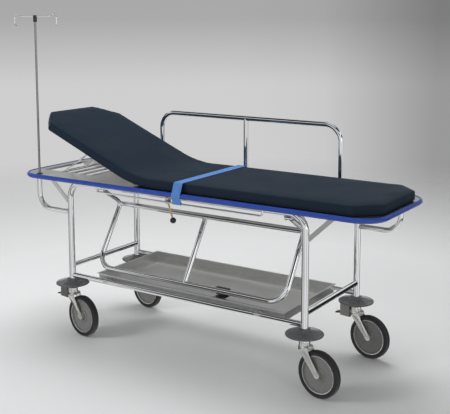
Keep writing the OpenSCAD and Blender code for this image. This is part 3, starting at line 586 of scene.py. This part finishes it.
def build_bumper():
    """Extruded vinyl bumper: a crowned face between two lips."""
    low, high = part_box("bumper_strip")
    stand = 12 * MM
    corner_r = 120 * MM - stand
    half_l, half_w = high.x - stand, high.y - stand
    z = (low.z + high.z) / 2
    half_h = (high.z - low.z) / 2
    profile = [(0.15 * MM, -half_h + 0.6 * MM), (1.0 * MM, -half_h), (3.6 * MM, -half_h + 0.1 * MM)]
    profile += [(5.0 * MM, -half_h + 1.6 * MM), (5.4 * MM, -half_h + 3.2 * MM)]
    profile += [(5.4 * MM + 6.4 * MM * math.cos(a), (half_h - 3.6 * MM) * math.sin(a)) for a in
                (-1.35, -1.05, -0.75, -0.4, 0.0, 0.4, 0.75, 1.05, 1.35)]
    profile += [(5.4 * MM, half_h - 3.2 * MM), (5.0 * MM, half_h - 1.6 * MM), (3.6 * MM, half_h - 0.1 * MM),
                (1.0 * MM, half_h), (0.15 * MM, half_h - 0.6 * MM)]
    rings = []
    for cx, cy, out, r in bumper_path(half_l, half_w, corner_r):
        rings.append([Vector((cx, cy, z + h)) + out * (r + reach) for reach, h in profile])
    mesh = bmesh.new()
    loft(mesh, rings, closed=True)
    settle(finish_mesh("bumper_strip_detail", mesh, BUMPER_BLUE, 60), "frame", "blue_bumper", "bumper_strip")


# ---------- mattress ----------

HINGE = Vector(JOINTS["backrest_lift"]["pos_m"])
REST_TILT = math.radians(23)
# Half the length of the pad that bends at the hip, and the panel's top below the hinge line
BEND_HALF = 105 * MM
PANEL_TOP = -1.3 * MM
# Length of the back, and the cut corners at the foot and the head
BACK_LENGTH = 690 * MM
FOOT_CUT, HEAD_CUT = 100 * MM, 106 * MM


def bent(point):
    """Carries a point of the flat mattress to its rest shape, bent smoothly at the hip."""
    x = point.x - HINGE.x
    z = point.z - HINGE.z
    if x >= BEND_HALF:
        return point.copy()
    t = min(1.0, (BEND_HALF - x) / (2 * BEND_HALF))
    tilt = REST_TILT * t
    radius = 2 * BEND_HALF / REST_TILT
    arc_x = BEND_HALF - radius * math.sin(tilt)
    arc_z = radius * (1 - math.cos(tilt))
    beyond = max(0.0, -BEND_HALF - x)
    px = arc_x - beyond * math.cos(tilt)
    pz = arc_z + beyond * math.sin(tilt)
    return Vector((HINGE.x + px + z * math.sin(tilt), point.y, HINGE.z + pz + z * math.cos(tilt)))


def mattress_outline(inset):
    """Half-width of the flat mattress at a place along it, and the two ends."""
    seat_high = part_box("mattress_seat")[1]
    half_w = seat_high.y - inset
    foot = seat_high.x - inset
    head = HINGE.x - BACK_LENGTH + inset

    def width_at(x):
        return min(half_w, half_w - FOOT_CUT + (foot - x), half_w - HEAD_CUT + (x - head))

    return width_at, head, foot, half_w


def build_mattress_body():
    """A closed pad on a regular grid, with rounded edges, still flat."""
    inset = 4 * MM
    width_at, head, foot, _ = mattress_outline(inset)
    low_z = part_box("mattress_seat")[0].z + 0.6 * MM
    high_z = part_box("mattress_seat")[1].z - 2.5 * MM
    corner = 6 * MM
    xs = [head + (foot - head) * i / 150 for i in range(151)]
    rings = []
    for i, x in enumerate(xs):
        w = width_at(x)
        close = min(1.0, min(x - head, foot - x) / corner + 0.12)
        lift = corner * (1 - math.sqrt(max(0.0, 1 - (1 - min(1.0, close)) ** 2)))
        low, high = low_z + lift, high_z - lift
        ring = []
        top_steps = 44
        for k in range(top_steps + 1):
            ring.append((w - corner - 2 * (w - corner) * k / top_steps, high))
        ring += [(-w + corner + corner * math.cos(a), high - corner + corner * math.sin(a))
                 for a in (math.radians(90 + 90 * k / 4) for k in range(1, 5))]
        side_steps = 4
        for k in range(1, side_steps):
            ring.append((-w, high - corner - (high - low - 2 * corner) * k / side_steps))
        ring += [(-w + corner + corner * math.cos(a), low + corner + corner * math.sin(a))
                 for a in (math.radians(180 + 90 * k / 4) for k in range(0, 5))]
        for k in range(1, top_steps):
            ring.append((-w + corner + 2 * (w - corner) * k / top_steps, low))
        ring += [(w - corner + corner * math.cos(a), low + corner + corner * math.sin(a))
                 for a in (math.radians(270 + 90 * k / 4) for k in range(0, 5))]
        for k in range(1, side_steps):
            ring.append((w, low + corner + (high - low - 2 * corner) * k / side_steps))
        ring += [(w - corner + corner * math.cos(a), high - corner + corner * math.sin(a))
                 for a in (math.radians(90 * k / 4) for k in range(0, 4))]
        rings.append([Vector((x, y, z)) for y, z in ring])
    mesh = bmesh.new()
    loft(mesh, rings, caps=True)
    bmesh.ops.triangulate(mesh, faces=[f for f in mesh.faces if len(f.verts) > 4])
    for v in mesh.verts:
        v.co = bent(v.co)
    return finish_mesh("mattress", mesh, COVER, 180)


def inflate(piece, voxel, pressure, cap):
    """Cloth simulation of the cover on its foam, with its largest movement capped, applied to the mesh."""
    scene = bpy.context.scene
    bpy.context.view_layer.objects.active = piece
    remesh = piece.modifiers.new("voxels", "REMESH")
    remesh.mode = "VOXEL"
    remesh.voxel_size = voxel
    piece.select_set(True)
    bpy.ops.object.modifier_apply(modifier=remesh.name)
    start = [v.co.copy() for v in piece.data.vertices]
    cloth = piece.modifiers.new("cover", "CLOTH")
    settings = cloth.settings
    settings.quality = 5
    settings.mass = 0.3
    settings.tension_stiffness = 30
    settings.compression_stiffness = 30
    settings.shear_stiffness = 12
    settings.bending_stiffness = 0.4
    settings.use_pressure = True
    settings.uniform_pressure_force = pressure
    settings.effector_weights.gravity = 0
    cloth.collision_settings.use_self_collision = False
    cloth.point_cache.frame_start = 1
    cloth.point_cache.frame_end = 20
    for number in range(1, 21):
        scene.frame_set(number)
    bpy.ops.object.modifier_apply(modifier=cloth.name)
    scene.frame_set(1)
    for v, origin in zip(piece.data.vertices, start):
        moved = v.co - origin
        if moved.length > cap:
            v.co = origin + moved.normalized() * cap
    piece.select_set(False)


def rest_mattress(piece):
    """Keeps the pad off the deck and panel, under the strap and in its space, and creases it at the hip."""
    seat_low, seat_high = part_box("mattress_seat")
    strap_low, strap_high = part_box("restraint_strap")
    strap_x = (strap_low.x + strap_high.x) / 2
    strap_half = (strap_high.x - strap_low.x) / 2
    side_limit = seat_high.y + 1.5 * MM
    along = Vector((-math.cos(REST_TILT), 0, math.sin(REST_TILT)))
    upward = Vector((math.sin(REST_TILT), 0, math.cos(REST_TILT)))
    for v in piece.data.vertices:
        co = v.co
        near_strap = math.exp(-(max(0.0, abs(co.x - strap_x) - strap_half) / (30 * MM)) ** 2)
        if co.x > HINGE.x - 30 * MM:
            ceiling = seat_high.z + 3.5 * MM - near_strap * 3.8 * MM
            crown = 1 - (co.y / seat_high.y) ** 4
            if co.x > strap_x - 150 * MM:
                co.z = min(co.z, ceiling - (1 - near_strap) * 1.2 * MM * (1 - crown))
            co.z = max(co.z, seat_low.z + 0.2 * MM)
        out = co - HINGE
        if out.dot(along) > 20 * MM:
            co += upward * max(0.0, PANEL_TOP - out.dot(upward))
        limit = side_limit - near_strap * 1.8 * MM
        co.y = max(-limit, min(limit, co.y))
        hip = math.exp(-((co.x - HINGE.x - 60 * MM) / (130 * MM)) ** 2)
        side = max(0.0, abs(co.y) - seat_high.y + 26 * MM) / (26 * MM)
        if hip > 0.02 and side > 0:
            fold = math.sin((co.x + 0.35 * abs(co.z - seat_low.z)) * 2 * math.pi / (34 * MM))
            depth = 1.4 * MM * hip * side * (1 - near_strap)
            co.y -= math.copysign(max(0.0, fold) * depth, co.y)


def edge_path(top):
    """Points round the top or bottom edge of the mattress at rest, before they are drawn to its surface."""
    _, head, foot, half_w = mattress_outline(0.0)
    seat_low, seat_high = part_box("mattress_seat")
    z = seat_high.z - 1 * MM if top else seat_low.z + 2.5 * MM
    inset = 2 * MM
    flat = []
    corners = [(foot, half_w - FOOT_CUT), (foot - FOOT_CUT, half_w), (head + HEAD_CUT, half_w),
               (head, half_w - HEAD_CUT)]
    loop = [(x - math.copysign(inset, x - HINGE.x), y - inset) for x, y in corners]
    loop += [(x, -y) for x, y in reversed(loop)]
    for (ax, ay), (bx, by) in zip(loop, loop[1:] + loop[:1]):
        steps = max(6, int(math.hypot(bx - ax, by - ay) / (7 * MM)))
        flat += [Vector((ax + (bx - ax) * k / steps, ay + (by - ay) * k / steps, z)) for k in range(steps)]
    return [bent(p) for p in flat]


def build_seams(pad):
    """Welted seams round the top and bottom edges, drawn to the finished pad's surface."""
    depsgraph = bpy.context.evaluated_depsgraph_get()
    tree = BVHTree.FromObject(pad, depsgraph)
    mesh = bmesh.new()
    for top in (True, False):
        path = []
        for p in edge_path(top):
            near, normal, _, _ = tree.find_nearest(p)
            path.append(near + normal * 0.5 * MM)
        smooth = [(path[i - 1] + path[i] * 2 + path[(i + 1) % len(path)]) / 4 for i in range(len(path))]
        swept_tube(mesh, smooth, 1.5 * MM, 8, closed=True)
    return finish_mesh("mattress_welts", mesh, COVER, 180)


def build_mattress():
    pad = build_mattress_body()
    inflate(pad, 8 * MM, 4.0, 5 * MM)
    rest_mattress(pad)
    subdivide = pad.modifiers.new("smooth", "SUBSURF")
    subdivide.levels = 1
    subdivide.render_levels = 1
    bpy.context.view_layer.objects.active = pad
    bpy.ops.object.modifier_apply(modifier=subdivide.name)
    for face in pad.data.polygons:
        face.use_smooth = True
    welts = build_seams(pad)
    for piece in (pad, welts):
        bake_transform(piece)
    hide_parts("mattress_seat", "mattress_back")
    return pad


# ---------- restraint strap ----------

def strap_route():
    """Right half of the strap's middle line in (y, z), from the middle of the mattress to its sewn end."""
    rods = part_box("strap_rods")
    rod_y = (rods[1].y - rods[0].y) / 2 - 4 * MM
    rod_z = rods[0].z + 4 * MM
    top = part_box("restraint_strap")[1].z - 1.0 * MM
    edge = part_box("mattress_seat")[1].y
    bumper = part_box("bumper_strip")
    out = bumper[1].y + 1.4 * MM
    route = [(edge * k / 12, top) for k in range(12)]
    route += [(edge - 3 * MM, top - 0.2 * MM), (edge + 1.2 * MM, top - 2 * MM)]
    route += [(edge + 3.5 * MM, top - 7 * MM)]
    route += [(edge + 8 * MM, top - 18 * MM), (out - 7 * MM, bumper[1].z + 4 * MM)]
    route += [(out - 3 * MM, bumper[1].z - 1 * MM), (out, bumper[1].z - 9 * MM)]
    route += [(out + 0.2 * MM, bumper[0].z + 9 * MM), (out - 2.2 * MM, bumper[0].z - 1 * MM)]
    route += [(rod_y + 6.4 * MM, rod_z + 10 * MM)]
    loop_r = 5.2 * MM
    route += [(rod_y + loop_r * math.cos(a), rod_z + loop_r * math.sin(a))
              for a in (math.radians(5 - 29 * k) for k in range(7))]
    route += [(rod_y + 1.6 * MM, rod_z + 10 * MM), (rod_y + 4.8 * MM, rod_z + 14 * MM)]
    route += [(rod_y + 8.2 * MM, rod_z + 20 * MM)]
    return route


def smooth_route(points, steps=5):
    """Catmull-Rom curve through points in the plane."""
    out = []
    padded = [points[0]] + list(points) + [points[-1]]
    for i in range(1, len(padded) - 2):
        p0, p1, p2, p3 = (Vector(p) for p in padded[i - 1:i + 3])
        for k in range(steps):
            t = k / steps
            out.append(0.5 * ((2 * p1) + (p2 - p0) * t + (2 * p0 - 5 * p1 + 4 * p2 - p3) * t * t
                              + (3 * p1 - p0 - 3 * p2 + p3) * t ** 3))
    out.append(Vector(points[-1]))
    return out


def build_strap():
    """Webbing over the mattress, folded round the rod on each side, with sewn ends."""
    low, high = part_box("restraint_strap")
    x = (low.x + high.x) / 2
    half_w = (high.x - low.x) / 2 - 0.5 * MM
    thick = 1.4 * MM
    half = smooth_route(strap_route())
    line = [Vector((-p.x, p.y)) for p in reversed(half)] + half[1:]
    rings = []
    for i, p in enumerate(line):
        ahead = line[min(i + 1, len(line) - 1)]
        back = line[max(i - 1, 0)]
        t = (ahead - back).normalized()
        n = Vector((-t.y, t.x)) * (thick / 2)
        ring = []
        across = ((-1, 0.0), (-0.97, 0.72), (-0.9, 1), (-0.45, 0.86), (0, 1), (0.45, 0.86), (0.9, 1),
                  (0.97, 0.72), (1, 0.0))
        for u, h in across:
            ring.append(Vector((x + u * half_w, p.x + n.x * h, p.y + n.y * h)))
        for u, h in across[-2:0:-1]:
            ring.append(Vector((x + u * half_w, p.x - n.x * h, p.y - n.y * h)))
        rings.append(ring)
    mesh = bmesh.new()
    loft(mesh, rings, caps=True)
    strap = settle(finish_mesh("restraint_strap_webbing", mesh, WEBBING, 60), "frame",
                   "blue_webbing", "restraint_strap")
    stitches = build_stitches(x, half_w)
    return strap


def build_stitches(x, half_w):
    """Rows of thread that close each end of the strap round its rod."""
    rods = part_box("strap_rods")
    rod_y = (rods[1].y - rods[0].y) / 2 - 4 * MM
    rod_z = rods[0].z + 4 * MM
    mesh = bmesh.new()
    count = 14
    for side in (-1, 1):
        for row_z in (13 * MM, 16.5 * MM):
            for k in range(count):
                sx = x + half_w * 0.9 * (2 * (k + 0.5) / count - 1)
                y = side * (rod_y + 6.9 * MM + (row_z - 13 * MM) * 0.05)
                run_half = half_w * 0.9 / count * 0.62
                path = [Vector((sx - run_half, y - side * 0.5 * MM, rod_z + row_z)),
                        Vector((sx - run_half * 0.6, y + side * 0.25 * MM, rod_z + row_z)),
                        Vector((sx + run_half * 0.6, y + side * 0.25 * MM, rod_z + row_z)),
                        Vector((sx + run_half, y - side * 0.5 * MM, rod_z + row_z))]
                swept_tube(mesh, path, 0.35 * MM, 6)
    return settle(finish_mesh("strap_stitches", mesh, WEBBING, 60), "frame", "blue_webbing")


# ---------- welds ----------

# Swing of a side rail from down to up
RAIL_SWING = math.radians(148)


def weld_bead(mesh, root, out, tube_r, host_axis, host_r, bead=1.5 * MM):
    """Bead round a tube that leaves root along out, where it meets a round host tube about host_axis."""
    out = out.normalized()
    host_axis = host_axis.normalized()
    cross = host_axis.cross(out).normalized()
    path = []
    steps = 44
    for k in range(steps):
        a = 2 * math.pi * k / steps
        along, sideways = tube_r * math.cos(a), tube_r * math.sin(a)
        reach = math.sqrt(max(0.0, host_r ** 2 - sideways ** 2))
        ripple = 0.18 * MM * math.sin(k * 2.4)
        path.append(root + host_axis * along + cross * sideways + out * (reach + ripple))
    swept_tube(mesh, path, bead, 8, closed=True)


def build_welds():
    """Beads where the frame tubes and the rail tubes meet."""
    leg_r = 16 * MM
    low_r = 12.5 * MM
    up = Vector((0, 0, 1))
    mesh = bmesh.new()
    low_z = middle("lower_tube_right").z
    end_z = middle("end_tubes").z
    for corner in CORNERS:
        leg = Vector(JOINTS["swivel_" + corner]["pos_m"])
        inward_x = Vector((-math.copysign(1, leg.x), 0, 0))
        inward_y = Vector((0, -math.copysign(1, leg.y), 0))
        weld_bead(mesh, Vector((leg.x, leg.y, low_z)), inward_x, low_r, up, leg_r)
        weld_bead(mesh, Vector((leg.x, leg.y, end_z)), inward_y, low_r, up, leg_r)
    for node, corner in (("corner_loop_head", "head_right"), ("corner_loop_foot", "foot_left")):
        low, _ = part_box(node)
        leg = Vector(JOINTS["swivel_" + corner]["pos_m"])
        loop_r = 13 * MM
        outward = Vector((math.copysign(1, leg.x), 0, 0))
        weld_bead(mesh, Vector((leg.x, leg.y, low.z + loop_r)), outward, loop_r, up, leg_r)
    settle(finish_mesh("frame_welds", mesh, FITTING, 60), "frame", "chrome_fitting")

    rail_r = 12.5 * MM
    for side, joint in (("right", "rail_right_raise"), ("left", "rail_left_lower")):
        pivot = Vector(JOINTS[joint]["pos_m"])
        turn = RAIL_SWING if side == "right" else 0.0
        sign = -1 if side == "right" else 1

        def carried(x, y, z):
            turned_y = y * math.cos(turn) + z * math.sin(turn)
            turned_z = -y * math.sin(turn) + z * math.cos(turn)
            return Vector((x, pivot.y + sign * turned_y, pivot.z + turned_z))

        arm, height, elbow = 163 * MM, 343 * MM, 30 * MM
        mid = elbow * (1 - math.cos(math.radians(45)))
        down = carried(0, 0, -1) - carried(0, 0, 0)
        mesh = bmesh.new()
        along = Vector((1, 0, 0))
        weld_bead(mesh, carried(0, arm, height), down, rail_r, along, rail_r, 1.3 * MM)
        weld_bead(mesh, carried(0, arm - mid * 0.55, mid), -down, rail_r, along, rail_r, 1.3 * MM)
        settle(finish_mesh("rail_welds_" + side, mesh, CHROME, 60), "rail_" + side, "chrome_tube")


# ---------- stage, light and camera ----------

# How solid the floor is from the trolley outwards, as (share of the radius, alpha)
FLOOR_SOLID = ((0.0, 1.0), (0.22, 1.0), (0.62, 0.0), (1.0, 0.0))


def build_stage():
    """A pale floor that fades into the backdrop."""
    mesh = bmesh.new()
    sides = 40
    radius = 9.0
    depth = -0.0004
    centre = mesh.verts.new((0, 0, depth))
    turns = [2 * math.pi * k / sides for k in range(sides)]
    circle = [mesh.verts.new((radius * math.cos(a), radius * math.sin(a), depth)) for a in turns]
    for a, b in zip(circle, circle[1:] + circle[:1]):
        mesh.faces.new((centre, a, b))
    data = bpy.data.meshes.new("floor")
    mesh.to_mesh(data)
    mesh.free()
    floor = bpy.data.objects.new("floor", data)
    bpy.context.scene.collection.objects.link(floor)
    material, tree, shader = new_material("floor_look", (0.76, 0.765, 0.77), roughness=0.6)
    place = tree.nodes.new("ShaderNodeTexCoord")
    far = tree.nodes.new("ShaderNodeVectorMath")
    far.operation = "LENGTH"
    tree.links.new(place.outputs["Object"], far.inputs[0])
    share = tree.nodes.new("ShaderNodeMapRange")
    share.inputs["From Max"].default_value = radius
    tree.links.new(far.outputs["Value"], share.inputs["Value"])
    tree.links.new(color_ramp(tree, share.outputs["Result"], FLOOR_SOLID), shader.inputs["Alpha"])
    shader.inputs["Specular IOR Level"].default_value = 0.25
    data.materials.append(material)
    floor.visible_glossy = False


# Brightness round the studio, from behind the head end round by the patient's right, as (turn, brightness)
WALLS = ((0.0, 0.03), (0.075, 0.03), (0.09, 1.0), (0.14, 1.0), (0.15, 0.05), (0.18, 0.05),
         (0.19, 1.0), (0.25, 1.0), (0.255, 0.05), (0.275, 0.05), (0.28, 1.0), (0.415, 1.0),
         (0.42, 0.04), (0.44, 0.04), (0.445, 1.0), (0.60, 1.0), (0.61, 0.02), (0.70, 0.02),
         (0.71, 1.0), (0.82, 1.0), (0.83, 0.3), (0.86, 0.3), (0.87, 1.0), (0.97, 1.0),
         (0.985, 0.03), (1.0, 0.03))
# Brightness from straight down to straight up, and how far the walls' gaps show at each level
LEVELS = ((0.0, 0.80), (0.22, 0.80), (0.25, 0.15), (0.29, 0.15), (0.32, 0.95), (0.60, 1.0),
          (0.62, 0.04), (0.70, 0.04),
          (0.72, 1.0), (0.80, 1.0), (0.83, 0.03), (0.94, 0.03), (0.96, 0.8), (1.0, 0.8))
OPEN_SHARE = ((0.0, 0.0), (0.24, 0.0), (0.32, 1.0), (0.60, 1.0), (0.66, 0.0), (1.0, 0.0))
# The backdrop that the camera sees: round the studio, and from straight down to straight up. Its grading is
# painted shade, darker in one band round the studio and above the horizon
BACKDROP_SHADE_TURN = ((0.0, 1.0), (0.78, 0.45), (0.805, 0.52), (0.825, 0.95), (0.84, 1.0), (1.0, 1.0))
BACKDROP_SHADE_LEVEL = ((0.0, 0.64), (0.46, 0.62), (0.497, 0.40), (1.0, 0.36))


def color_ramp(tree, value, stops):
    """A brightness that runs through stops of (place, brightness)."""
    ramp = tree.nodes.new("ShaderNodeValToRGB")
    elements = ramp.color_ramp.elements
    while len(elements) > 1:
        elements.remove(elements[-1])
    elements[0].position = stops[0][0]
    elements[0].color = (stops[0][1],) * 3 + (1,)
    for place, bright in stops[1:]:
        stop = elements.new(place)
        stop.color = (bright,) * 3 + (1,)
    tree.links.new(value, ramp.inputs["Fac"])
    return ramp.outputs["Color"]


def build_world():
    """A grey backdrop to the eye, graded with painted shade, and a studio of pale walls and dark gaps to the
    reflections.
    """
    world = bpy.data.worlds.new("studio")
    world.use_nodes = True
    bpy.context.scene.world = world
    tree = world.node_tree
    tree.nodes.clear()
    place = tree.nodes.new("ShaderNodeTexCoord")
    split = tree.nodes.new("ShaderNodeSeparateXYZ")
    tree.links.new(place.outputs["Generated"], split.inputs[0])
    angle = tree.nodes.new("ShaderNodeMath")
    angle.operation = "ARCTAN2"
    tree.links.new(split.outputs["Y"], angle.inputs[0])
    tree.links.new(split.outputs["X"], angle.inputs[1])
    turn = tree.nodes.new("ShaderNodeMapRange")
    turn.inputs["From Min"].default_value = -math.pi
    turn.inputs["From Max"].default_value = math.pi
    tree.links.new(angle.outputs[0], turn.inputs["Value"])
    walls = color_ramp(tree, turn.outputs["Result"], WALLS)
    height = tree.nodes.new("ShaderNodeMapRange")
    height.inputs["From Min"].default_value = -1.0
    height.inputs["From Max"].default_value = 1.0
    tree.links.new(split.outputs["Z"], height.inputs["Value"])
    levels = color_ramp(tree, height.outputs["Result"], LEVELS)
    open_share = color_ramp(tree, height.outputs["Result"], OPEN_SHARE)
    tone = tree.nodes.new("ShaderNodeMix")
    tone.data_type = "FLOAT"
    tone.inputs[2].default_value = 1.0
    tree.links.new(open_share, tone.inputs[0])
    tree.links.new(walls, tone.inputs[3])
    both = combine(tree, tone.outputs[0], levels, "MULTIPLY")
    seen = tree.nodes.new("ShaderNodeLightPath")
    pick = tree.nodes.new("ShaderNodeMix")
    pick.data_type = "FLOAT"
    tree.links.new(seen.outputs["Is Camera Ray"], pick.inputs[0])
    tree.links.new(both, pick.inputs[2])
    # Camera rays see the backdrop, its grading painted shade
    backdrop = combine(tree, color_ramp(tree, turn.outputs["Result"], BACKDROP_SHADE_TURN),
                       color_ramp(tree, height.outputs["Result"], BACKDROP_SHADE_LEVEL), "MULTIPLY")
    tree.links.new(backdrop, pick.inputs[3])
    ground = tree.nodes.new("ShaderNodeBackground")
    ground.inputs["Color"].default_value = (1, 1, 1, 1)
    tree.links.new(pick.outputs[0], ground.inputs["Strength"])
    output = tree.nodes.new("ShaderNodeOutputWorld")
    tree.links.new(ground.outputs[0], output.inputs["Surface"])


def area_light(name, place, target, size, watts, reflected):
    """A soft box that points at a target."""
    data = bpy.data.lights.new(name, "AREA")
    data.shape = "RECTANGLE"
    data.size, data.size_y = size
    data.energy = watts
    lamp = bpy.data.objects.new(name, data)
    lamp.location = place
    lamp.visible_glossy = reflected
    lamp.rotation_mode = "QUATERNION"
    lamp.rotation_quaternion = (Vector(target) - Vector(place)).to_track_quat("-Z", "Y")
    bpy.context.scene.collection.objects.link(lamp)


def build_lights():
    area_light("key_box", (-1.0, 1.2, 4.2), (0, 0, 0.6), (3.0, 2.2), 110, False)
    area_light("front_box", (-3.2, -4.0, 2.8), (-0.4, -0.8, 0), (1.6, 2.0), 100, False)
    area_light("foot_box", (4.2, -1.6, 1.9), (0.4, 0, 0.6), (0.7, 2.2), 12, True)


def build_camera():
    """Standing off the foot end on the patient's right, a little above the mattress."""
    data = bpy.data.cameras.new("camera")
    data.sensor_width = 36.0
    data.lens = 70.34
    data.shift_y = -0.158
    data.clip_end = 120
    camera = bpy.data.objects.new("camera", data)
    azimuth, pitch = math.radians(33.21), math.radians(8.0)
    level = math.cos(pitch)
    forward = Vector((-math.sin(azimuth) * level, math.cos(azimuth) * level, -math.sin(pitch)))
    camera.location = (2.324, -3.415, 1.600)
    camera.rotation_mode = "QUATERNION"
    camera.rotation_quaternion = forward.to_track_quat("-Z", "Y")
    bpy.context.scene.collection.objects.link(camera)
    bpy.context.scene.camera = camera


build_camera()
dress_cad_nodes()
build_casters()
build_bumper()
build_mattress()
build_strap()
build_welds()
build_stage()
build_world()
build_lights()
bpy.context.scene.view_settings.view_transform = "Standard"
